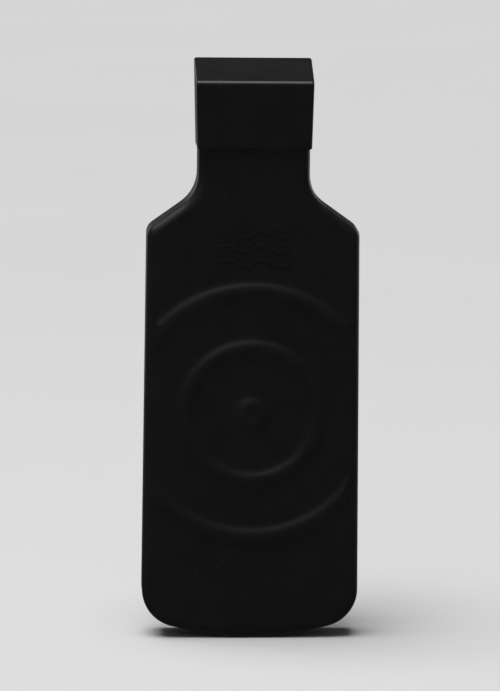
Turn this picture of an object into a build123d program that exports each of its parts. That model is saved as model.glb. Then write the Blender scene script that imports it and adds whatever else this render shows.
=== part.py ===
from build123d import *
from math import radians, sqrt, tan
import os

# Submersible mini aquarium heater: a flat bottle-shaped pad with a capped neck, hung on the glass by
# two suction cups. Millimetres, +Z up along the heater, front face towards -Y, glass at Y = 0.
# Heights are measured from the pad's bottom edge; save() then moves the model so that the origin is
# the centre of the upper suction cup's rim.

# Front view of the pad
PAD_WIDTH = 33.5
SIDE_DRAFT = 0.5           # each side leans in this much between the bottom and the shoulder
BOTTOM_RADIUS = 45.0       # the shallow arc of the bottom edge
BOTTOM_CORNER = 6.0
NECK_WIDTH = 17.06
NECK_TOP = 76.1            # where the cap sits
SHOULDER_ROOT = 69.15      # height where the neck's side would meet the shoulder's slope
SHOULDER_ANGLE = 35.5
SHOULDER_CORNER = 2.0
NECK_FILLET = 6.0

# Depths, all as Y values
GLASS_GAP = 9.0
PAD_THICKNESS = 7.5
REAR_SHELL_DEPTH = 3.0
WALL = 1.6
SIDE_WALL = 2.4
REAR_FACE = -GLASS_GAP
FRONT_FACE = REAR_FACE - PAD_THICKNESS
PARTING = REAR_FACE - REAR_SHELL_DEPTH
REAR_INNER = REAR_FACE - WALL
FRONT_INNER = FRONT_FACE + WALL
MID_CAVITY = (REAR_INNER + FRONT_INNER) / 2

# Edges and the raised rings of the front face
FRONT_EDGE = 1.4
REAR_EDGE = 1.0
SEAM_CHAMFER = 0.15        # on both shells, so that the seam shows as a fine line
RING_CENTRE = 35.25
RING_RADII = (10.3, 19.1)
RING_HALF_WIDTH = 2.0
RING_HEIGHT = 0.55
DOME_CREST = 1.2           # radius of the highest circle of the dome in the rings' middle
DOME_RADIUS = 3.5
DIMPLE_DEPTH = 0.1         # in the middle of the dome
RING_ROOT = FRONT_FACE + WALL / 2
RING_FADE = 0.1            # the rings die out this far inside the pad's outline
RING_FADE_ROUND = 3.0
MARK_HEIGHT = 0.15
MARK_STROKE = 0.7
MARK_LEVELS = (58.85, 61.05, 63.25)
WAVE_CHORD = 2.8
WAVE_SAGITTA = 0.5
WAVE_COUNT = 4

# Seam between the two shells
GROOVE_OUTSET = 0.7        # from the pad's outline to the groove
GROOVE_WIDTH = 1.0
GROOVE_DEPTH = 0.8
TONGUE_DEPTH = 0.4
GROOVE_TOP = 74.05

# Spigot at the neck's end, and the cap that snaps over it
SPIGOT_HALF_WIDTH = 7.2
SPIGOT_BORE = 5.7
SPIGOT_REAR = REAR_FACE - 0.9
SPIGOT_FRONT = FRONT_FACE + 0.9
SPIGOT_WALL = 1.2
SPIGOT_TOP = 79.25
CAP_PROUD = 0.7            # the cap stands out this far from the neck, front and rear
CAP_HALF_BOTTOM = 8.72
CAP_HALF_TOP = 9.05
CAP_BROW = 86.3            # top of the cap's front face
CAP_TOP = 89.55
CAP_ROOF = 1.25
BROW_ROUND = 0.9           # between the cap's front face and its roof
CAP_EDGE = 0.4
CAP_LIP = 0.2              # chamfer round the cap's lower edge
CAP_REAR = REAR_FACE + CAP_PROUD
CAP_FRONT = FRONT_FACE - CAP_PROUD
BARB_LOW = 77.35
BARB_CREST = 77.65
BARB_HIGH = 78.85
BARB_HEIGHT = 0.35
BARB_REAR = PARTING - 0.6
BARB_FRONT = PARTING - 2.2

# Rubber gland for the cord in the cap's rear wall
GLAND_HEIGHT = 83.35
GLAND_BORE = 2.1
GLAND_BARREL = 3.0
GLAND_FLANGE = 3.7
GLAND_FLANGE_DEPTH = 1.2
GLAND_COLLAR_DEPTH = 0.7
GLAND_NOSE = 3.1
GLAND_REAR = -6.0

# Suction cups and the lugs that hold them
UPPER_CUP = 54.35
LOWER_CUP = 20.35
CUP_RIM = 11.0
CUP_LAND = 0.6
CUP_RIM_THICKNESS = 0.7
CUP_DISH = 2.7
CUP_COLLAR = 3.2
CUP_COLLAR_FRONT = -5.6
CUP_COLLAR_REAR = -4.9
CUP_STEM = 1.8
CUP_HEAD = 3.3
CUP_HEAD_REAR = -7.4
CUP_HEAD_FRONT = -8.7
CUP_SOFTEN = 0.25
RUNNING_GAP = 0.3
LUG_HALF_WIDTH = 5.4
LUG_BELOW = 5.5
LUG_PLATE_REAR = CUP_COLLAR_FRONT - RUNNING_GAP
LUG_PLATE_FRONT = CUP_HEAD_REAR + RUNNING_GAP
LUG_EDGE = 0.45
LUG_MOUTH = 0.9            # the slot flares by this much on each side at its open end

# Blank recess on the rear face, between the lugs
PANEL_WIDTH = 21.0
PANEL_LOW = 29.0
PANEL_HIGH = 45.5
PANEL_CORNER = 2.0
PANEL_DEPTH = 0.25

# Flat stack in the cavity, front to rear
SHEET_GAP = 0.4            # between the sheets and the side walls
SHEET_TOP = 52.55
COVER_TOP = 48.85          # top of the sheets that cover the card's rear face
SPREADER_THICKNESS = 0.6
MICA_THICKNESS = 0.3
WIRE_CHANNEL = 0.6
CARD_THICKNESS = 0.8
POST_RADIUS = 1.1
POST_CLEARANCE = 0.15
POST_SOCKET = 0.8
LOW_POSTS = ((-10.5, 9.55), (10.5, 9.55))
ALL_POSTS = LOW_POSTS + ((0.0, 50.35),)
SPREADER_REAR = FRONT_INNER + SPREADER_THICKNESS
CHANNEL_FRONT = SPREADER_REAR + MICA_THICKNESS
CARD_FRONT = CHANNEL_FRONT + WIRE_CHANNEL
CARD_REAR = CARD_FRONT + CARD_THICKNESS
COVER_REAR = CARD_REAR + MICA_THICKNESS

# Heating wire: vertical runs joined by half turns
WIRE_RADIUS = 0.28
WIRE_PITCH = 2.0
WIRE_RUNS = 10
WIRE_LOW = 13.55
WIRE_HIGH = 46.55

# Terminals on the card, where the wire meets its leads
TERMINAL_X = WIRE_PITCH * (WIRE_RUNS - 1) / 2
TERMINAL_HEIGHT = 50.45
RIVET_RADIUS = 0.8
RIVET_HEAD = 1.4
TAB_THICKNESS = 0.4
TAB_TOP = 52.85
SOCKET_LOW = 52.25
SOCKET_HIGH = 55.25
SOCKET_OUTER = 0.8
CORE_RADIUS = 0.45
SOCKET_Y = CARD_REAR + SOCKET_OUTER

# Thermal cutoff
CUTOFF_X = -4.2
CAN_RADIUS = 1.6
CAN_LOW = 59.55
CAN_HIGH = 68.05
CAN_WALL = 0.25
BEAD_HIGH = 68.75
SLEEVE_INNER = 1.65
SLEEVE_OUTER = 1.95
SLEEVE_LOW = 58.65
SLEEVE_HIGH = 69.55

# Splices to the cord, inside the neck
SPLICE_X = 2.7
CRIMP_LOW = 72.55
CRIMP_HIGH = 77.55
CRIMP_OUTER = 1.0
CRIMP_ENTRY = 1.8
CORD_CORE_RADIUS = 0.6
SHRINK_INNER = 1.02
SHRINK_OUTER = 1.4
SHRINK_LOW = 71.45
SHRINK_HIGH = 78.85
POTTING_LOW = 70.55
LEAD_RADIUS = 0.65
LEAD_STRIP = 0.9           # bare length at each end of the insulated lead
LEAD_BEND = 1.5


def slab(outline, rear, front):
    """Solid with a front-view outline, between two depths."""
    return extrude(Plane.XZ.offset(-rear) * outline, amount=rear - front)


def front_rectangle(half_width, low, high, centre=0.0):
    """Front-view rectangle between two heights."""
    return Pos(centre, (low + high) / 2) * Rectangle(2 * half_width, high - low)


def pin(x, height, radius, rear, front):
    """Cylinder along Y."""
    return slab(Pos(x, height) * Circle(radius), rear, front)


def upright(x, depth, radius, low, high):
    """Cylinder along Z."""
    return Pos(x, depth, (low + high) / 2) * Cylinder(radius, high - low)


def turned(profile, height):
    """Solid turned about the Y direction at one height, from a profile of (radius, Y)."""
    axis = Axis((0, 0, height), (0, 1, 0))
    return revolve(Pos(0, 0, height) * profile, axis)


def corners_at(sketch, height):
    return [corner for corner in sketch.vertices() if abs(corner.Y - height) < 0.01]


def edges_below_top(face):
    """All edges of a face but the straight one across the neck's top."""
    top = face.edges().sort_by(lambda edge: edge.center().Z)[-1]
    return [edge for edge in face.edges() if edge != top]


def pad_outline():
    """Front view of the pad and neck."""
    half = PAD_WIDTH / 2
    side = half - SIDE_DRAFT
    neck = NECK_WIDTH / 2
    foot = BOTTOM_RADIUS - sqrt(BOTTOM_RADIUS ** 2 - half ** 2)
    shoulder = SHOULDER_ROOT - (side - neck) * tan(radians(SHOULDER_ANGLE))
    right = [(half, foot), (side, shoulder), (neck, SHOULDER_ROOT), (neck, NECK_TOP)]
    left = [(-x, height) for x, height in reversed(right)]
    bottom = ThreePointArc(left[-1], (0, 0), right[0])
    outline = make_face(Polyline(right + left) + bottom)
    for height, radius in (
        (foot, BOTTOM_CORNER),
        (shoulder, SHOULDER_CORNER),
        (SHOULDER_ROOT, NECK_FILLET),
    ):
        outline = fillet(corners_at(outline, height), radius)
    return outline


OUTLINE = pad_outline()
CAVITY = offset(OUTLINE, amount=-SIDE_WALL, kind=Kind.INTERSECTION)
CAVITY = CAVITY + front_rectangle(NECK_WIDTH / 2 - SIDE_WALL, SHOULDER_ROOT, NECK_TOP)


def swell(start, end):
    """Two tangent arcs between two (radius, Y) points, level at both ends."""
    way = 1 if end[0] > start[0] else -1
    middle = ((start[0] + end[0]) / 2, (start[1] + end[1]) / 2)
    return TangentArc(start, middle, tangent=(way, 0)) + TangentArc(end, middle, tangent=(-way, 0))


def ring_bead(radius):
    """Profile of one raised ring about its own radius."""
    inner = (radius - RING_HALF_WIDTH, FRONT_FACE)
    crest = (radius, FRONT_FACE - RING_HEIGHT)
    outer = (radius + RING_HALF_WIDTH, FRONT_FACE)
    root = Polyline(outer, (outer[0], RING_ROOT), (inner[0], RING_ROOT), inner)
    return make_face(swell(inner, crest) + swell(crest, outer) + root)


def centre_dome():
    """Profile of the low dimpled dome, from its middle to its foot."""
    middle = (0, FRONT_FACE - RING_HEIGHT + DIMPLE_DEPTH)
    crest = (DOME_CREST, FRONT_FACE - RING_HEIGHT)
    foot = (DOME_RADIUS, FRONT_FACE)
    root = Polyline(foot, (foot[0], RING_ROOT), (0, RING_ROOT), middle)
    return make_face(swell(middle, crest) + swell(crest, foot) + root)


def raised_rings():
    """Two ripple rings and the dome, dying out at the pad's rounded edge."""
    skin = slab(offset(OUTLINE, amount=-RING_FADE), PARTING, FRONT_FACE - RING_HEIGHT)
    skin = fillet(edges_below_top(skin.faces().sort_by(Axis.Y)[0]), RING_FADE_ROUND)
    rings = turned(centre_dome(), RING_CENTRE)
    for radius in RING_RADII:
        rings += turned(ring_bead(radius), RING_CENTRE) & skin
    return rings


def wave_mark():
    """Three plain wavy lines standing just proud of the front face."""
    mark = Sketch()
    for level in MARK_LEVELS:
        line = Curve()
        for index in range(WAVE_COUNT):
            start = WAVE_CHORD * (index - WAVE_COUNT / 2)
            bow = WAVE_SAGITTA if index % 2 == 0 else -WAVE_SAGITTA
            crest = (start + WAVE_CHORD / 2, level + bow)
            line += ThreePointArc((start, level), crest, (start + WAVE_CHORD, level))
        mark += trace(line, MARK_STROKE)
    return slab(mark, FRONT_FACE + WALL / 2, FRONT_FACE - MARK_HEIGHT)


def seam_band():
    """Front view of the groove round the seam, open at the neck."""
    outer = offset(OUTLINE, amount=-GROOVE_OUTSET, kind=Kind.INTERSECTION)
    inner = offset(OUTLINE, amount=-GROOVE_OUTSET - GROOVE_WIDTH, kind=Kind.INTERSECTION)
    return outer - inner - front_rectangle(NECK_WIDTH, GROOVE_TOP, CAP_TOP)


SEAM_BAND = seam_band()


def spigot(rear, front, bore_rear, bore_front):
    """One shell's half of the hollow spigot that the cap slides over."""
    outside = slab(front_rectangle(SPIGOT_HALF_WIDTH, NECK_TOP, SPIGOT_TOP), rear, front)
    return outside - slab(front_rectangle(SPIGOT_BORE, NECK_TOP, SPIGOT_TOP), bore_rear, bore_front)


def neck_end(rear, front, bore_rear, bore_front):
    """Shelf that closes the neck's mouth down to the spigot's smaller bore."""
    bore = slab(front_rectangle(SPIGOT_BORE, NECK_TOP - WALL, NECK_TOP), bore_rear, bore_front)
    return slab(front_rectangle(NECK_WIDTH / 2 - WALL, NECK_TOP - WALL, NECK_TOP), rear, front) - bore


def snap_barbs():
    """Wedges on the spigot's two sides, and the shape of their recesses in the cap."""
    barbs = Part()
    for side in (-1, 1):
        base = side * SPIGOT_HALF_WIDTH
        crest = side * (SPIGOT_HALF_WIDTH + BARB_HEIGHT)
        wedge = make_face(Polyline((base, BARB_LOW), (crest, BARB_CREST), (base, BARB_HIGH), close=True))
        barbs += slab(wedge, BARB_REAR, BARB_FRONT)
    return barbs


def front_shell():
    shell = slab(OUTLINE, PARTING, FRONT_FACE)
    shell = fillet(edges_below_top(shell.faces().sort_by(Axis.Y)[0]), FRONT_EDGE)
    shell = chamfer(edges_below_top(shell.faces().sort_by(Axis.Y)[-1]), SEAM_CHAMFER)
    shell += raised_rings()
    shell += wave_mark()
    shell -= slab(CAVITY, PARTING, FRONT_INNER)
    bore_front = SPIGOT_FRONT + SPIGOT_WALL
    shell += neck_end(PARTING, FRONT_FACE + WALL / 2, PARTING, bore_front)
    shell += spigot(PARTING, SPIGOT_FRONT, PARTING, bore_front)
    shell += snap_barbs()
    shell -= slab(SEAM_BAND, PARTING, PARTING - GROOVE_DEPTH)
    for x, height in ALL_POSTS:
        shell += pin(x, height, POST_RADIUS, REAR_INNER + POST_SOCKET, FRONT_INNER - WALL / 2)
    return shell


def lug_shape(half_width, height, low):
    """Front view of a slot or block that is open below and round above."""
    return front_rectangle(half_width, low, height) + Pos(0, height) * Circle(half_width)


def cup_lug(height):
    """Lug with a T-shaped slot, open below, for the stem and head of a suction cup."""
    low = height - LUG_BELOW
    lug = slab(lug_shape(LUG_HALF_WIDTH, height, low), LUG_PLATE_REAR, REAR_FACE - WALL / 2)
    lug = fillet(lug.faces().sort_by(Axis.Y)[-1].edges(), LUG_EDGE)
    stem_slot = CUP_STEM + RUNNING_GAP
    flare = stem_slot + LUG_MOUTH
    corners = ((-flare, low), (flare, low), (stem_slot, low + flare), (-stem_slot, low + flare))
    lug -= slab(make_face(Polyline(*corners, close=True)), LUG_PLATE_REAR, LUG_PLATE_FRONT)
    lug -= slab(lug_shape(stem_slot, height, low), LUG_PLATE_REAR, LUG_PLATE_FRONT)
    lug -= slab(lug_shape(CUP_HEAD + RUNNING_GAP, height, low), LUG_PLATE_FRONT, REAR_FACE)
    return lug


def blank_panel():
    """Shallow recess for a rating label, left blank."""
    middle = (PANEL_LOW + PANEL_HIGH) / 2
    panel = Pos(0, middle) * RectangleRounded(PANEL_WIDTH, PANEL_HIGH - PANEL_LOW, PANEL_CORNER)
    return slab(panel, REAR_FACE, REAR_FACE - PANEL_DEPTH)


def rear_shell():
    shell = slab(OUTLINE, REAR_FACE, PARTING)
    shell = fillet(edges_below_top(shell.faces().sort_by(Axis.Y)[-1]), REAR_EDGE)
    shell = chamfer(edges_below_top(shell.faces().sort_by(Axis.Y)[0]), SEAM_CHAMFER)
    shell -= slab(CAVITY, REAR_INNER, PARTING)
    bore_rear = SPIGOT_REAR - SPIGOT_WALL
    shell += neck_end(REAR_FACE - WALL / 2, PARTING, bore_rear, PARTING)
    shell += spigot(SPIGOT_REAR, PARTING, bore_rear, PARTING)
    shell += slab(SEAM_BAND, PARTING, PARTING - TONGUE_DEPTH)
    shell -= blank_panel()
    for height in (UPPER_CUP, LOWER_CUP):
        shell += cup_lug(height)
    for x, height in ALL_POSTS:
        shell -= pin(x, height, POST_RADIUS, REAR_INNER + POST_SOCKET, REAR_INNER)
    return shell


def shell_seal():
    """Bead of sealant in the bottom of the seam's groove."""
    return slab(SEAM_BAND, PARTING - TONGUE_DEPTH, PARTING - GROOVE_DEPTH)


def side_view(*points):
    """Side-view outline through (Y, height) points."""
    return make_face(Polyline(*points, close=True))


def side_prism(outline, half_width):
    """Prism along X with a side-view outline."""
    return extrude(Plane.YZ * outline, amount=half_width, both=True)


def end_cap():
    slope = (CAP_TOP - CAP_BROW) / (CAP_REAR - CAP_FRONT)
    roof_drop = CAP_ROOF * sqrt(1 + slope ** 2)
    outside = side_view(
        (CAP_FRONT, NECK_TOP),
        (CAP_FRONT, CAP_BROW),
        (CAP_REAR, CAP_TOP),
        (CAP_REAR, NECK_TOP),
    )
    outside = fillet(corners_at(outside, CAP_BROW), BROW_ROUND)
    inside = side_view(
        (SPIGOT_FRONT, NECK_TOP),
        (SPIGOT_FRONT, CAP_BROW + (SPIGOT_FRONT - CAP_FRONT) * slope - roof_drop),
        (SPIGOT_REAR, CAP_BROW + (SPIGOT_REAR - CAP_FRONT) * slope - roof_drop),
        (SPIGOT_REAR, NECK_TOP),
    )
    low = ((-CAP_HALF_BOTTOM, NECK_TOP), (CAP_HALF_BOTTOM, NECK_TOP))
    high = ((CAP_HALF_TOP, CAP_TOP), (-CAP_HALF_TOP, CAP_TOP))
    cap = slab(make_face(Polyline(*low, *high, close=True)), CAP_REAR, CAP_FRONT)
    cap &= side_prism(outside, PAD_WIDTH)
    above = [edge for edge in cap.edges() if edge.center().Z > NECK_TOP + 0.01]
    sharp = [edge for edge in above if abs(edge.center().X) > 0.01 or edge.center().Y > PARTING]
    cap = fillet(sharp, CAP_EDGE)
    cap = chamfer(cap.faces().sort_by(Axis.Z)[0].edges(), CAP_LIP)
    cap -= side_prism(inside, SPIGOT_HALF_WIDTH)
    cap -= snap_barbs()
    cap -= pin(0, GLAND_HEIGHT, GLAND_BARREL, CAP_REAR, SPIGOT_REAR)
    return cap


def cord_grommet():
    """Rubber gland: a flange inside the cap, a barrel through its wall and a collar outside."""
    inner = SPIGOT_REAR - GLAND_FLANGE_DEPTH
    profile = Polyline(
        (GLAND_BORE, inner),
        (GLAND_FLANGE, inner),
        (GLAND_FLANGE, SPIGOT_REAR),
        (GLAND_BARREL, SPIGOT_REAR),
        (GLAND_BARREL, CAP_REAR),
        (GLAND_FLANGE, CAP_REAR),
        (GLAND_FLANGE, CAP_REAR + GLAND_COLLAR_DEPTH),
        (GLAND_NOSE, GLAND_REAR),
        (GLAND_BORE, GLAND_REAR),
        close=True,
    )
    return turned(make_face(profile), GLAND_HEIGHT)


def sheet(rear, front, top, posts):
    """Flat sheet that fills the cavity below one height, with a hole for each post."""
    outline = offset(CAVITY, amount=-SHEET_GAP, kind=Kind.INTERSECTION)
    outline = outline & front_rectangle(PAD_WIDTH, 0, top)
    for x, height in posts:
        outline -= Pos(x, height) * Circle(POST_RADIUS + POST_CLEARANCE)
    return slab(outline, rear, front)


def heating_wire():
    """Vertical runs joined by half turns, ending at the two terminals."""
    depth = (CHANNEL_FRONT + CARD_FRONT) / 2
    end = TERMINAL_HEIGHT - RIVET_HEAD
    path = Curve()
    for run in range(WIRE_RUNS):
        x = WIRE_PITCH * run - TERMINAL_X
        outermost = run in (0, WIRE_RUNS - 1)
        path += Line((x, depth, WIRE_LOW), (x, depth, end if outermost else WIRE_HIGH))
        if run < WIRE_RUNS - 1:
            turn_height = WIRE_LOW if run % 2 == 0 else WIRE_HIGH
            bow = -WIRE_PITCH / 2 if run % 2 == 0 else WIRE_PITCH / 2
            crest = (x + WIRE_PITCH / 2, depth, turn_height + bow)
            path += ThreePointArc((x, depth, turn_height), crest, (x + WIRE_PITCH, depth, turn_height))
    start = Plane(origin=(-TERMINAL_X, depth, end), z_dir=(0, 0, -1))
    return sweep(start * Circle(WIRE_RADIUS), path=Wire(path.edges()))


def element_card():
    card = sheet(CARD_REAR, CARD_FRONT, SHEET_TOP, ALL_POSTS)
    for x in (-TERMINAL_X, TERMINAL_X):
        card -= pin(x, TERMINAL_HEIGHT, RIVET_RADIUS, CARD_REAR, CARD_FRONT)
    return card


def wire_terminals():
    """Riveted tabs on the card, each with a socket for its lead."""
    terminals = []
    for x in (-TERMINAL_X, TERMINAL_X):
        terminal = pin(x, TERMINAL_HEIGHT, RIVET_HEAD, CARD_FRONT, CHANNEL_FRONT)
        terminal += pin(x, TERMINAL_HEIGHT, RIVET_RADIUS, CARD_REAR, CARD_FRONT)
        terminal += pin(x, TERMINAL_HEIGHT, RIVET_HEAD, CARD_REAR + TAB_THICKNESS, CARD_REAR)
        tab = front_rectangle(SOCKET_OUTER, TERMINAL_HEIGHT, TAB_TOP, x)
        terminal += slab(tab, CARD_REAR + TAB_THICKNESS, CARD_REAR)
        terminal += upright(x, SOCKET_Y, SOCKET_OUTER, SOCKET_LOW, SOCKET_HIGH)
        terminal -= upright(x, SOCKET_Y, CORE_RADIUS, TAB_TOP, SOCKET_HIGH)
        terminals.append(terminal)
    return Compound(children=[Part(item.wrapped) for item in terminals])


def bent_wire(points, radius, bend):
    """Round wire along straight runs joined by arcs."""
    path = FilletPolyline(*points, radius=bend)
    start = Plane(origin=path @ 0, z_dir=path % 0)
    return sweep(start * Circle(radius), path=path)


def cutoff_case():
    """Metal can of the one-shot thermal cutoff, open at its upper end."""
    can = upright(CUTOFF_X, MID_CAVITY, CAN_RADIUS, CAN_LOW, CAN_HIGH)
    return can - upright(CUTOFF_X, MID_CAVITY, CAN_RADIUS - CAN_WALL, CAN_LOW + CAN_WALL, CAN_HIGH)


def cutoff_seal():
    """Resin bead in the can's mouth, with the upper lead through it."""
    inside = CAN_RADIUS - CAN_WALL
    bead = upright(CUTOFF_X, MID_CAVITY, inside, CAN_LOW + CAN_WALL, BEAD_HIGH)
    return bead - upright(CUTOFF_X, MID_CAVITY, CORE_RADIUS, CAN_HIGH - CAN_RADIUS, BEAD_HIGH)


def cutoff_pigtails():
    """Bare leads of the cutoff, one up to its splice and one down to its terminal."""
    upper = [
        (CUTOFF_X, MID_CAVITY, CAN_HIGH - CAN_RADIUS),
        (CUTOFF_X, MID_CAVITY, POTTING_LOW - 0.3),
        (-SPLICE_X, MID_CAVITY, SHRINK_LOW + 0.6),
        (-SPLICE_X, MID_CAVITY, CRIMP_LOW + CRIMP_ENTRY),
    ]
    lower = [
        (CUTOFF_X, MID_CAVITY, CAN_LOW),
        (CUTOFF_X, MID_CAVITY, CAN_LOW - 2.0),
        (-TERMINAL_X, SOCKET_Y, SOCKET_HIGH + 1.4),
        (-TERMINAL_X, SOCKET_Y, TAB_TOP),
    ]
    wires = [bent_wire(points, CORE_RADIUS, CORE_RADIUS * 2) for points in (upper, lower)]
    return Compound(children=[Part(item.wrapped) for item in wires])


def cutoff_sleeve():
    """Glass-fibre sleeve over the can."""
    sleeve = upright(CUTOFF_X, MID_CAVITY, SLEEVE_OUTER, SLEEVE_LOW, SLEEVE_HIGH)
    return sleeve - upright(CUTOFF_X, MID_CAVITY, SLEEVE_INNER, SLEEVE_LOW, SLEEVE_HIGH)


def neutral_lead():
    """Insulated lead from its splice to the right-hand terminal, bare at both ends."""
    points = [
        (SPLICE_X, MID_CAVITY, CRIMP_LOW - LEAD_STRIP),
        (SPLICE_X, MID_CAVITY, POTTING_LOW - 1.5),
        (TERMINAL_X, SOCKET_Y, SOCKET_HIGH + 4.0),
        (TERMINAL_X, SOCKET_Y, SOCKET_HIGH + LEAD_STRIP),
    ]
    lead = bent_wire(points, LEAD_RADIUS, LEAD_BEND)
    lead += upright(SPLICE_X, MID_CAVITY, CORE_RADIUS, CRIMP_LOW - LEAD_STRIP, CRIMP_LOW + CRIMP_ENTRY)
    lead += upright(TERMINAL_X, SOCKET_Y, CORE_RADIUS, TAB_TOP, SOCKET_HIGH + LEAD_STRIP)
    return lead


def splice_crimps():
    """Crimp barrels that join the cord's two conductors to the wiring below."""
    crimps = []
    for x in (-SPLICE_X, SPLICE_X):
        crimp = upright(x, MID_CAVITY, CRIMP_OUTER, CRIMP_LOW, CRIMP_HIGH)
        crimp -= upright(x, MID_CAVITY, CORE_RADIUS, CRIMP_LOW, CRIMP_LOW + CRIMP_ENTRY)
        crimp -= upright(x, MID_CAVITY, CORD_CORE_RADIUS, CRIMP_HIGH - CRIMP_ENTRY, CRIMP_HIGH)
        crimps.append(crimp)
    return Compound(children=[Part(item.wrapped) for item in crimps])


def splice_sleeves():
    """Shrink sleeves over the crimps."""
    sleeves = []
    for x in (-SPLICE_X, SPLICE_X):
        sleeve = upright(x, MID_CAVITY, SHRINK_OUTER, SHRINK_LOW, SHRINK_HIGH)
        sleeves.append(sleeve - upright(x, MID_CAVITY, SHRINK_INNER, SHRINK_LOW, SHRINK_HIGH))
    return Compound(children=[Part(item.wrapped) for item in sleeves])


def neck_potting(embedded):
    """Resin that fills the neck round the wires and splices."""
    neck = front_rectangle(NECK_WIDTH, POTTING_LOW, NECK_TOP - WALL) & CAVITY
    resin = slab(neck, REAR_INNER, FRONT_INNER)
    mouth = front_rectangle(SPIGOT_BORE, NECK_TOP - WALL, SPIGOT_TOP)
    resin += slab(mouth, SPIGOT_REAR - SPIGOT_WALL, SPIGOT_FRONT + SPIGOT_WALL)
    for x in (-SPLICE_X, SPLICE_X):
        resin -= upright(x, MID_CAVITY, SHRINK_OUTER, SHRINK_LOW, SPIGOT_TOP)
    for piece in embedded:
        resin -= piece
    return resin


def suction_cup(height):
    """Soft cup: dish, collar, stem and mushroom head in one moulding."""
    lines = Polyline(
        (0, CUP_HEAD_FRONT),
        (CUP_STEM, CUP_HEAD_FRONT),
        (CUP_HEAD, (CUP_HEAD_FRONT + CUP_HEAD_REAR) / 2),
        (CUP_HEAD, CUP_HEAD_REAR),
        (CUP_STEM, CUP_HEAD_REAR),
        (CUP_STEM, CUP_COLLAR_FRONT),
        (CUP_COLLAR, CUP_COLLAR_FRONT),
        (CUP_COLLAR, CUP_COLLAR_REAR),
    )
    waist = ((CUP_COLLAR + CUP_RIM) / 2 - 0.8, (CUP_COLLAR_REAR - CUP_RIM_THICKNESS) / 2 - 0.2)
    lines += ThreePointArc((CUP_COLLAR, CUP_COLLAR_REAR), waist, (CUP_RIM, -CUP_RIM_THICKNESS))
    inner_rim = CUP_RIM - CUP_LAND
    lines += Polyline((CUP_RIM, -CUP_RIM_THICKNESS), (CUP_RIM, 0), (inner_rim, 0))
    lines += TangentArc((0, -CUP_DISH), (inner_rim, 0), tangent=(1, 0))
    lines += Line((0, -CUP_DISH), (0, CUP_HEAD_FRONT))
    profile = make_face(lines)
    soft = [
        corner
        for corner in profile.vertices()
        if CUP_HEAD_FRONT + 0.01 < corner.Y < CUP_COLLAR_REAR - 0.01 and corner.X > CUP_STEM + 0.01
    ]
    return turned(fillet(soft, CUP_SOFTEN), height)


def save(name, piece):
    export_step(Pos(0, 0, -UPPER_CUP) * piece, f"parts/{name}.step")


def main():
    os.makedirs("parts", exist_ok=True)
    pigtails = cutoff_pigtails()
    lead = neutral_lead()
    pieces = {
        "front_shell": front_shell(),
        "rear_shell": rear_shell(),
        "shell_seal": shell_seal(),
        "end_cap": end_cap(),
        "cord_grommet": cord_grommet(),
        "neck_potting": neck_potting(list(pigtails.solids()) + [lead]),
        "heat_spreader": sheet(SPREADER_REAR, FRONT_INNER, SHEET_TOP, ALL_POSTS),
        "front_insulator": sheet(CHANNEL_FRONT, SPREADER_REAR, SHEET_TOP, ALL_POSTS),
        "heating_wire": heating_wire(),
        "element_card": element_card(),
        "wire_terminals": wire_terminals(),
        "rear_insulator": sheet(COVER_REAR, CARD_REAR, COVER_TOP, LOW_POSTS),
        "pressure_pad": sheet(REAR_INNER, COVER_REAR, COVER_TOP, LOW_POSTS),
        "cutoff_case": cutoff_case(),
        "cutoff_seal": cutoff_seal(),
        "cutoff_pigtails": pigtails,
        "cutoff_sleeve": cutoff_sleeve(),
        "neutral_lead": lead,
        "splice_crimps": splice_crimps(),
        "splice_sleeves": splice_sleeves(),
        "suction_cup_upper": suction_cup(UPPER_CUP),
        "suction_cup_lower": suction_cup(LOWER_CUP),
    }
    for name, piece in pieces.items():
        save(name, piece)


main()
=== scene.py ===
from math import atan2, cos, pi, radians, sin, sqrt

import bmesh
import bpy
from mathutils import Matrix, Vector


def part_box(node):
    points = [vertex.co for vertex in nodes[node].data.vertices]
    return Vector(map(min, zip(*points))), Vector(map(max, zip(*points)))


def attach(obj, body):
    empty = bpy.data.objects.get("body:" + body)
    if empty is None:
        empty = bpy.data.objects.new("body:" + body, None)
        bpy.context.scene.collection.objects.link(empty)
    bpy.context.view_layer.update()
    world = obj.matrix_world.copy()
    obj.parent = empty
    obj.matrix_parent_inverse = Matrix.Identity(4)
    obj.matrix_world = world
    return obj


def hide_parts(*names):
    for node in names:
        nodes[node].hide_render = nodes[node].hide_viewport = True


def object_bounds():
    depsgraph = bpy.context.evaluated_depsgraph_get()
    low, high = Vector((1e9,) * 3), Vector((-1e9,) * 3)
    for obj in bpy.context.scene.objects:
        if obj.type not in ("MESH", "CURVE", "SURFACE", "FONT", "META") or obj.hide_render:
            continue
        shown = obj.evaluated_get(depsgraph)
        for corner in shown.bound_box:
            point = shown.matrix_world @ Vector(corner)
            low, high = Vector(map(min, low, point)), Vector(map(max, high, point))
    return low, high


# Looks for the submersible mini aquarium heater. Metres, +Z up, the ringed front faces -Y and the
# suction cups meet the glass in the plane Y = 0.

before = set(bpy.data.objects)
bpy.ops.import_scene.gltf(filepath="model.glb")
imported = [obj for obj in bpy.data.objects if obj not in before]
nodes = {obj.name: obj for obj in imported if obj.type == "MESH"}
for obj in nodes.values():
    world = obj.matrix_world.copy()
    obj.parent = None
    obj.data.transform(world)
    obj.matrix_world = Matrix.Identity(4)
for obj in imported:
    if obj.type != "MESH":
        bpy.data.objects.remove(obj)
cad_low, cad_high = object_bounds()
MM = 0.001
CENTRE = (cad_low + cad_high) / 2


# ---------------------------------------------------------------- camera, lights, floor

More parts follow.
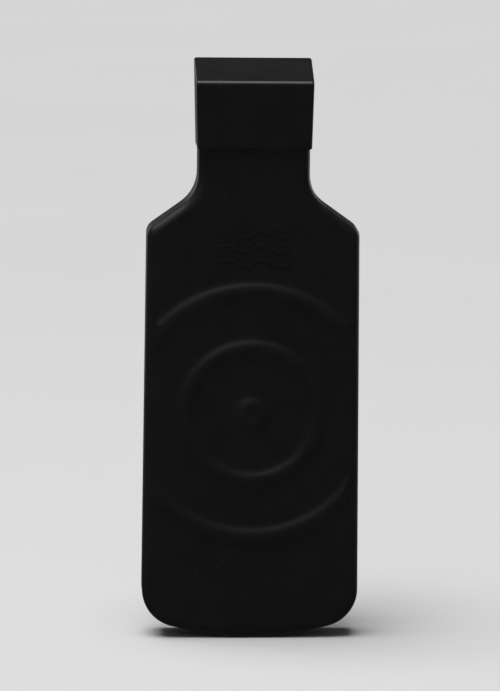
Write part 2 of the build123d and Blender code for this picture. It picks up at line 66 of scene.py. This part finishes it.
CAMERA_AZIMUTH = radians(-3)
CAMERA_ELEVATION = radians(9.0)
CAMERA_ROLL = radians(0.58)
CAMERA_DISTANCE = 0.56
CAMERA_LENS = 188.0
CAMERA_FILM = 36.0
SUN_WATTS = 2.4
SUN_SPREAD = radians(44)
BACKDROP_TONE = (0.70, 0.70, 0.70)
FILL_TONE = (0.055, 0.055, 0.057)


def aim(thing, target):
    """Turns a camera or light to look at a point."""
    thing.rotation_euler = (target - thing.location).to_track_quat("-Z", "Y").to_euler()


def make_camera():
    """Long lens from slightly left of the front and above, with the heater's lean in the frame."""
    data = bpy.data.cameras.new("camera")
    data.lens = CAMERA_LENS
    data.sensor_width = CAMERA_FILM
    camera = bpy.data.objects.new("camera", data)
    bpy.context.scene.collection.objects.link(camera)
    level = CAMERA_DISTANCE * cos(CAMERA_ELEVATION)
    offset = Vector((
        level * sin(CAMERA_AZIMUTH),
        -level * cos(CAMERA_AZIMUTH),
        CAMERA_DISTANCE * sin(CAMERA_ELEVATION),
    ))
    camera.location = CENTRE + offset
    aim(camera, CENTRE)
    camera.rotation_euler.rotate_axis("Z", CAMERA_ROLL)
    bpy.context.scene.camera = camera


def area_light(name, place, size, watts):
    """Soft box at a place measured from the heater's middle, and aimed at it."""
    data = bpy.data.lights.new(name, "AREA")
    data.shape = "RECTANGLE"
    data.size, data.size_y = size
    data.energy = watts
    light = bpy.data.objects.new(name, data)
    light.location = CENTRE + Vector(place)
    aim(light, CENTRE)
    bpy.context.scene.collection.objects.link(light)
    return light


def make_lights():
    """Soft light from above on the left, and two low lights behind, which are given back."""
    area_light("key", (-0.26, -0.40, 0.36), (0.36, 0.30), 0.105)
    area_light("edge", (-0.16, 0.02, 0.22), (0.10, 0.06), 0.05)
    rear_right = area_light("rear_right", (0.40, 0.32, 0.10), (0.22, 0.30), 0.55)
    rear_left = area_light("rear_left", (-0.28, 0.46, 0.07), (0.16, 0.30), 0.22)
    sun = bpy.data.objects.new("sun", bpy.data.lights.new("sun", "SUN"))
    sun.data.energy = SUN_WATTS
    sun.data.angle = SUN_SPREAD
    sun.rotation_euler = (radians(5), radians(-10), 0)
    bpy.context.scene.collection.objects.link(sun)
    return rear_right, rear_left


def make_world():
    """Pale backdrop that only the camera sees, and a dim even fill for everything else."""
    world = bpy.data.worlds.new("studio")
    bpy.context.scene.world = world
    world.use_nodes = True
    tree = world.node_tree
    tree.nodes.clear()
    seen = tree.nodes.new("ShaderNodeBackground")
    seen.inputs["Color"].default_value = (*BACKDROP_TONE, 1)
    lit = tree.nodes.new("ShaderNodeBackground")
    lit.inputs["Color"].default_value = (*FILL_TONE, 1)
    path = tree.nodes.new("ShaderNodeLightPath")
    mix = tree.nodes.new("ShaderNodeMixShader")
    out = tree.nodes.new("ShaderNodeOutputWorld")
    tree.links.new(path.outputs["Is Camera Ray"], mix.inputs[0])
    tree.links.new(lit.outputs[0], mix.inputs[1])
    tree.links.new(seen.outputs[0], mix.inputs[2])
    tree.links.new(mix.outputs[0], out.inputs["Surface"])


make_camera()
LOW_LIGHTS = make_lights()
make_world()
bpy.context.scene.view_settings.view_transform = "Standard"


# ---------------------------------------------------------------- material helpers

NOISE_LOW = 0.3            # most of a noise's values lie between these two
NOISE_HIGH = 0.7
BANDS_PER_UNIT = 3.2       # of a wave texture at a scale of 1


class Surface:
    """One Principled material whose textures are laid out in the model's own metres."""

    def __init__(self, name, colour, roughness, metallic=0.0, specular=0.5):
        self.material = bpy.data.materials.new(name)
        self.material.use_nodes = True
        self.tree = self.material.node_tree
        self.shader = self.tree.nodes["Principled BSDF"]
        self.set("Base Color", (*colour, 1))
        self.set("Roughness", roughness)
        self.set("Metallic", metallic)
        self.set("Specular IOR Level", specular)
        self.place = self.tree.nodes.new("ShaderNodeTexCoord").outputs["Object"]
        self.normal = None

    def set(self, socket, value):
        self.shader.inputs[socket].default_value = value

    def link(self, output, socket):
        self.tree.links.new(output, socket)

    def stretched(self, scale):
        mapping = self.tree.nodes.new("ShaderNodeMapping")
        mapping.inputs["Scale"].default_value = scale
        self.link(self.place, mapping.inputs["Vector"])
        return mapping.outputs["Vector"]

    def noise(self, size, detail=3.0, roughness=0.55, stretch=None):
        """Noise whose features are about this many metres across."""
        node = self.tree.nodes.new("ShaderNodeTexNoise")
        node.inputs["Scale"].default_value = 1 / size
        node.inputs["Detail"].default_value = detail
        node.inputs["Roughness"].default_value = roughness
        self.link(self.stretched(stretch) if stretch else self.place, node.inputs["Vector"])
        return node.outputs["Fac"]

    def cells(self, size):
        """Distance to the nearest of points about this many metres apart."""
        node = self.tree.nodes.new("ShaderNodeTexVoronoi")
        node.inputs["Scale"].default_value = 1 / size
        self.link(self.place, node.inputs["Vector"])
        return node.outputs["Distance"]

    def bands(self, size, direction, distortion):
        """Soft stripes about this many metres wide."""
        node = self.tree.nodes.new("ShaderNodeTexWave")
        node.bands_direction = direction
        node.inputs["Scale"].default_value = 1 / size / BANDS_PER_UNIT
        node.inputs["Distortion"].default_value = distortion
        node.inputs["Detail"].default_value = 2.0
        self.link(self.place, node.inputs["Vector"])
        return node.outputs["Fac"]

    def ramp(self, value, low, high, first, last):
        """Value mapped from low..high to first..last, held outside that range."""
        node = self.tree.nodes.new("ShaderNodeMapRange")
        for socket, number in (
            ("From Min", low),
            ("From Max", high),
            ("To Min", first),
            ("To Max", last),
        ):
            node.inputs[socket].default_value = number
        self.link(value, node.inputs["Value"])
        return node.outputs["Result"]

    def blend(self, factor, first, last):
        """Colour between two, each of which is a tuple or a socket."""
        node = self.tree.nodes.new("ShaderNodeMix")
        node.data_type = "RGBA"
        self.link(factor, node.inputs["Factor"])
        for name, colour in (("A", first), ("B", last)):
            socket = next(s for s in node.inputs if s.name == name and s.type == "RGBA")
            if isinstance(colour, tuple):
                socket.default_value = (*colour, 1)
            else:
                self.link(colour, socket)
        return next(s for s in node.outputs if s.type == "RGBA")

    def colour(self, output):
        """Paints the surface with a colour socket."""
        self.link(output, self.shader.inputs["Base Color"])

    def rough(self, value, low, high):
        """Lets the roughness follow a noise between two limits."""
        uneven = self.ramp(value, NOISE_LOW, NOISE_HIGH, low, high)
        self.link(uneven, self.shader.inputs["Roughness"])

    def bump(self, height, depth, strength=1.0):
        """Adds a bump of this depth in metres on top of the bumps before it."""
        node = self.tree.nodes.new("ShaderNodeBump")
        node.inputs["Strength"].default_value = strength
        node.inputs["Distance"].default_value = depth
        self.link(height, node.inputs["Height"])
        if self.normal:
            self.link(self.normal, node.inputs["Normal"])
        self.normal = node.outputs["Normal"]
        self.link(self.normal, self.shader.inputs["Normal"])


# ---------------------------------------------------------------- materials

DUST_TONE = (0.10, 0.10, 0.10)


def moulded_black(name, tone, grain, low_rough, high_rough):
    """Black moulded plastic: fine spark-eroded grain, faint flow marks and a little dust."""
    surface = Surface(name, tone, low_rough, specular=0.4)
    mottle = surface.noise(3.5 * MM, detail=4)
    lighter = tuple(channel * 1.3 for channel in tone)
    shade = surface.blend(surface.ramp(mottle, 0.35, 0.7, 0, 1), tone, lighter)
    specks = surface.ramp(surface.cells(2.3 * MM), 0.02, 0.045, 1, 0)
    patches = surface.ramp(surface.noise(5 * MM, detail=1), 0.60, 0.66, 0, 1)
    dust = surface.tree.nodes.new("ShaderNodeMath")
    dust.operation = "MULTIPLY"
    surface.link(specks, dust.inputs[0])
    surface.link(patches, dust.inputs[1])
    surface.colour(surface.blend(dust.outputs[0], shade, DUST_TONE))
    surface.rough(surface.noise(6 * MM, detail=5), low_rough, high_rough)
    surface.bump(surface.noise(9 * MM, detail=2), 0.03 * MM, 0.5)
    surface.bump(surface.noise(grain, detail=3, roughness=0.7), 0.018 * MM, 0.8)
    return surface.material


def soft_rubber(name, tone, rough=0.6):
    """Matt rubber with a dusty bloom."""
    surface = Surface(name, tone, rough, specular=0.35)
    bloom = tuple(channel * 2.2 for channel in tone)
    surface.colour(surface.blend(surface.ramp(surface.noise(1.2 * MM), 0.4, 0.75, 0, 1), tone, bloom))
    surface.rough(surface.noise(0.8 * MM), rough - 0.08, rough + 0.1)
    surface.bump(surface.noise(0.18 * MM, detail=4), 0.02 * MM, 0.9)
    return surface.material


def clear_vinyl(name):
    """Soft clear PVC, slightly smoky, with faint flow waves."""
    surface = Surface(name, (0.86, 0.90, 0.88), 0.12, specular=0.5)
    surface.set("Transmission Weight", 0.88)
    surface.set("IOR", 1.45)
    surface.rough(surface.noise(2.5 * MM, detail=1), 0.08, 0.18)
    tint = surface.ramp(surface.noise(4 * MM, detail=1), 0.35, 0.7, 0, 1)
    surface.colour(surface.blend(tint, (0.88, 0.91, 0.89), (0.78, 0.82, 0.80)))
    surface.bump(surface.noise(3.0 * MM, detail=0), 0.02 * MM, 0.5)
    return surface.material


def resin(name, tone):
    """Cast epoxy: glossy, slightly cloudy, with fine bubbles."""
    surface = Surface(name, tone, 0.25)
    cloudy = tuple(channel * 1.8 for channel in tone)
    surface.colour(surface.blend(surface.ramp(surface.noise(2 * MM), 0.35, 0.7, 0, 1), tone, cloudy))
    surface.rough(surface.noise(1.5 * MM), 0.18, 0.34)
    surface.bump(surface.ramp(surface.cells(0.9 * MM), 0.0, 0.18, 0, 1), 0.03 * MM, 0.6)
    return surface.material


def brushed_metal(name, tone, rough, stretch):
    """Metal with a fine directional brush and soft stains."""
    surface = Surface(name, tone, rough, metallic=1.0)
    darker = tuple(channel * 0.72 for channel in tone)
    surface.colour(surface.blend(surface.ramp(surface.noise(3 * MM), 0.35, 0.75, 0, 1), tone, darker))
    brush = surface.noise(0.25 * MM, detail=4, stretch=stretch)
    surface.rough(brush, rough - 0.08, rough + 0.12)
    surface.bump(brush, 0.006 * MM, 0.8)
    return surface.material


def mica_sheet(name):
    """Phlogopite mica laminate: silvery brown flakes in overlapping sheets."""
    surface = Surface(name, (0.52, 0.42, 0.27), 0.35)
    flakes = surface.cells(1.6 * MM)
    fleck = surface.noise(0.5 * MM, detail=4)
    base = surface.blend(surface.ramp(flakes, 0.1, 0.7, 0, 1), (0.60, 0.50, 0.34), (0.40, 0.31, 0.19))
    bright = surface.ramp(fleck, 0.58, 0.7, 0, 0.6)
    surface.colour(surface.blend(bright, base, (0.78, 0.71, 0.55)))
    surface.rough(fleck, 0.24, 0.5)
    surface.bump(flakes, 0.02 * MM, 0.5)
    return surface.material


def sponge(name):
    """Closed-cell silicone sponge, brick red, with fine open pores on its skin whose hollows are
    painted darker as shade.
    """
    surface = Surface(name, (0.42, 0.10, 0.06), 0.8, specular=0.25)
    pore_depth_and_painted_shade = surface.ramp(surface.cells(0.45 * MM), 0.05, 0.35, 0, 1)
    # The pore hollows get a darker red. This is painted shade where the bump sinks, not a colour of the
    # sponge.
    surface.colour(surface.blend(pore_depth_and_painted_shade, (0.20, 0.04, 0.025), (0.46, 0.12, 0.07)))
    surface.rough(surface.noise(0.6 * MM), 0.7, 0.92)
    surface.bump(pore_depth_and_painted_shade, 0.06 * MM, 0.9)
    return surface.material


def glass_fibre(name):
    """Braided glass-fibre sleeve with a cream varnish."""
    surface = Surface(name, (0.70, 0.66, 0.52), 0.55)
    one_way = surface.bands(0.35 * MM, "DIAGONAL", 0.4)
    other_way = surface.bands(0.30 * MM, "Z", 0.6)
    surface.colour(surface.blend(one_way, (0.58, 0.53, 0.38), (0.80, 0.76, 0.62)))
    surface.rough(other_way, 0.45, 0.7)
    surface.bump(one_way, 0.04 * MM, 0.8)
    surface.bump(other_way, 0.03 * MM, 0.6)
    return surface.material


def insulation(name, tone, rough):
    """Extruded lead insulation or shrink tube with faint die lines."""
    surface = Surface(name, tone, rough)
    lines = surface.noise(0.2 * MM, detail=2, stretch=(1, 1, 0.05))
    lighter = tuple(min(1.0, channel * 1.3) for channel in tone)
    surface.colour(surface.blend(surface.ramp(lines, 0.4, 0.7, 0, 1), tone, lighter))
    surface.rough(surface.noise(1.5 * MM), rough - 0.08, rough + 0.12)
    surface.bump(lines, 0.01 * MM, 0.7)
    return surface.material


def floor_paint():
    """Matt pale paint, very slightly uneven."""
    surface = Surface("pale_floor", (0.86, 0.86, 0.86), 0.75, specular=0.1)
    surface.rough(surface.noise(4 * MM, detail=2), 0.72, 0.85)
    tone = surface.ramp(surface.noise(0.15, detail=2), 0.3, 0.7, 0, 1)
    surface.colour(surface.blend(tone, (0.85, 0.85, 0.85), (0.87, 0.87, 0.87)))
    return surface.material


HOUSING = moulded_black("housing_plastic", (0.0070, 0.0070, 0.0074), 0.16 * MM, 0.42, 0.50)
CAP = moulded_black("cap_plastic", (0.0075, 0.0075, 0.0080), 0.13 * MM, 0.29, 0.37)
VINYL = clear_vinyl("cup_vinyl")

FINISHES = {
    "front_shell": HOUSING,
    "rear_shell": HOUSING,
    "end_cap": CAP,
    "shell_seal": soft_rubber("sealant", (0.03, 0.03, 0.03), 0.5),
    "cord_grommet": soft_rubber("gland_rubber", (0.016, 0.016, 0.017)),
    "neck_potting": resin("potting_resin", (0.05, 0.035, 0.022)),
    "cutoff_seal": resin("bead_resin", (0.30, 0.07, 0.04)),
    "heat_spreader": brushed_metal("spreader_metal", (0.78, 0.78, 0.80), 0.32, (1, 1, 0.04)),
    "front_insulator": mica_sheet("front_mica"),
    "rear_insulator": mica_sheet("rear_mica"),
    "element_card": mica_sheet("card_mica"),
    "heating_wire": brushed_metal("resistance_wire", (0.42, 0.39, 0.35), 0.38, (1, 1, 0.1)),
    "wire_terminals": brushed_metal("plated_brass", (0.78, 0.62, 0.33), 0.3, (0.1, 1, 1)),
    "pressure_pad": sponge("silicone_sponge"),
    "cutoff_case": brushed_metal("cutoff_metal", (0.72, 0.72, 0.74), 0.26, (0.1, 0.1, 1)),
    "cutoff_pigtails": brushed_metal("pigtail_copper", (0.74, 0.70, 0.66), 0.28, (1, 1, 0.1)),
    "splice_crimps": brushed_metal("crimp_copper", (0.76, 0.72, 0.68), 0.3, (1, 1, 0.2)),
    "cutoff_sleeve": glass_fibre("fibre_sleeve"),
    "neutral_lead": insulation("lead_insulation", (0.62, 0.62, 0.58), 0.4),
    "splice_sleeves": insulation("shrink_tube", (0.02, 0.02, 0.02), 0.42),
}


def dress(thing, material):
    """Gives an object one material."""
    thing.data.materials.clear()
    thing.data.materials.append(material)


for name, material in FINISHES.items():
    dress(nodes[name], material)


# ---------------------------------------------------------------- floor

FLOOR_RADIUS = 4.0
FLOOR_SEGMENTS = 96


def make_floor():
    """Round floor at the heater's lowest point, left out of the glossy reflections."""
    mesh = bpy.data.meshes.new("floor")
    shape = bmesh.new()
    bmesh.ops.create_circle(shape, cap_ends=True, radius=FLOOR_RADIUS, segments=FLOOR_SEGMENTS)
    shape.to_mesh(mesh)
    shape.free()
    floor = bpy.data.objects.new("floor", mesh)
    floor.location = (CENTRE.x, CENTRE.y, cad_low.z)
    bpy.context.scene.collection.objects.link(floor)
    floor.visible_glossy = False
    dress(floor, floor_paint())
    return floor


def keep_off(lights, thing):
    """Stops the low lights from making bright pools on one thing."""
    spared = bpy.data.collections.new("spared")
    spared.objects.link(thing)
    spared.collection_objects[0].light_linking.link_state = "EXCLUDE"
    for light in lights:
        light.light_linking.receiver_collection = spared


keep_off(LOW_LIGHTS, make_floor())


# ---------------------------------------------------------------- suction cups

# Millimetres: radii from the cup's axis, and depths that are zero at the glass and negative
# towards the heater
CUP_HEAD = 3.3
CUP_HEAD_FLAT = 1.5        # radius of the flat on the mushroom head's tip
CUP_HEAD_LENGTH = 1.3
CUP_STEM = 1.8
CUP_COLLAR = 3.2
CUP_COLLAR_FRONT = -5.6
CUP_COLLAR_REAR = -4.85
CUP_RIM_FRONT = -0.7
CUP_LAND = 0.6             # width of the flat rim that meets the glass
CUP_DISH = -2.7            # the dish's deepest point
CUP_SOFT = 0.2             # rounding where the head and the collar meet the stem
CUP_SEGMENTS = 128
ON_AXIS = 1e-7


def arc(start, end, sagitta, steps):
    """Points of a circular arc in the (radius, depth) plane, bulging to the left by sagitta."""
    (x0, y0), (x1, y1) = start, end
    chord = sqrt((x1 - x0) ** 2 + (y1 - y0) ** 2)
    nx, ny = -(y1 - y0) / chord, (x1 - x0) / chord
    radius = (chord * chord / 4 + sagitta * sagitta) / (2 * sagitta)
    cx = (x0 + x1) / 2 + nx * (sagitta - radius)
    cy = (y0 + y1) / 2 + ny * (sagitta - radius)
    first = atan2(y0 - cy, x0 - cx)
    turn = atan2(y1 - cy, x1 - cx) - first
    turn = (turn + pi) % (2 * pi) - pi
    size = abs(radius)
    return [
        (cx + size * cos(first + turn * i / steps), cy + size * sin(first + turn * i / steps))
        for i in range(steps + 1)
    ]


def cup_head(tip):
    """Half section of the mushroom head and the stem's two ends, from the head's tip."""
    rear = tip + CUP_HEAD_LENGTH
    collar = CUP_COLLAR_FRONT
    bow = CUP_SOFT / 4
    points = [(0, tip)]
    points += arc((CUP_HEAD_FLAT, tip), (CUP_HEAD, rear - 0.45), -0.22, 6)
    points += arc((CUP_HEAD, rear - CUP_SOFT), (CUP_HEAD - CUP_SOFT, rear), -bow, 3)
    points += arc((CUP_STEM + CUP_SOFT, rear), (CUP_STEM, rear + CUP_SOFT), bow, 3)
    points += arc((CUP_STEM, collar - CUP_SOFT), (CUP_STEM + CUP_SOFT, collar), bow, 3)
    return points


def cup_dish(rim):
    """Half section of the collar, the flared dish and its inside, to the dish's middle."""
    land = rim - CUP_LAND
    points = arc((CUP_COLLAR - 0.25, CUP_COLLAR_FRONT), (CUP_COLLAR, CUP_COLLAR_FRONT + 0.25), -0.07, 4)
    points += [(CUP_COLLAR, CUP_COLLAR_REAR - 0.2)]
    points += arc((CUP_COLLAR + 0.15, CUP_COLLAR_REAR), (rim - 0.25, CUP_RIM_FRONT - 0.02), 0.55, 16)
    points += arc((rim - 0.12, CUP_RIM_FRONT + 0.02), (rim, CUP_RIM_FRONT + 0.25), -0.06, 4)
    points += [(rim, -0.15), (rim - 0.05, -0.03), (rim - 0.15, 0)]
    points += [(land + 0.06, 0)]
    points += arc((land, -0.02), (0, CUP_DISH), -0.70, 28)
    return points


def spin(name, points, centre):
    """Closed mesh turned about the Y direction through a centre, from (radius, depth) in metres."""
    mesh = bpy.data.meshes.new(name)
    shape = bmesh.new()
    rings = []
    for radius, depth in points:
        if radius < ON_AXIS:
            rings.append([shape.verts.new((centre.x, depth, centre.z))])
            continue
        ring = []
        for i in range(CUP_SEGMENTS):
            angle = 2 * pi * i / CUP_SEGMENTS
            place = (centre.x + radius * cos(angle), depth, centre.z + radius * sin(angle))
            ring.append(shape.verts.new(place))
        rings.append(ring)
    for near, far in zip(rings, rings[1:]):
        for i in range(CUP_SEGMENTS):
            j = (i + 1) % CUP_SEGMENTS
            corners = [near[i % len(near)], near[j % len(near)], far[j % len(far)], far[i % len(far)]]
            face = []
            for corner in corners:
                if corner not in face:
                    face.append(corner)
            shape.faces.new(face)
    bmesh.ops.recalc_face_normals(shape, faces=shape.faces)
    for face in shape.faces:
        face.smooth = True
    shape.to_mesh(mesh)
    shape.free()
    thing = bpy.data.objects.new(name, mesh)
    bpy.context.scene.collection.objects.link(thing)
    return thing


def make_cup(node, body):
    """Clear moulding in place of one plain cup, with the same head, rim and place."""
    low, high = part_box(node)
    centre = Vector(((low.x + high.x) / 2, 0, (low.z + high.z) / 2))
    section = cup_head(low.y / MM) + cup_dish((high.x - low.x) / 2 / MM)
    cup = spin(node + "_moulding", [(radius * MM, depth * MM) for radius, depth in section], centre)
    dress(cup, VINYL)
    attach(cup, body)
    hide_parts(node)


make_cup("suction_cup_upper", "upper_cup")
make_cup("suction_cup_lower", "lower_cup")
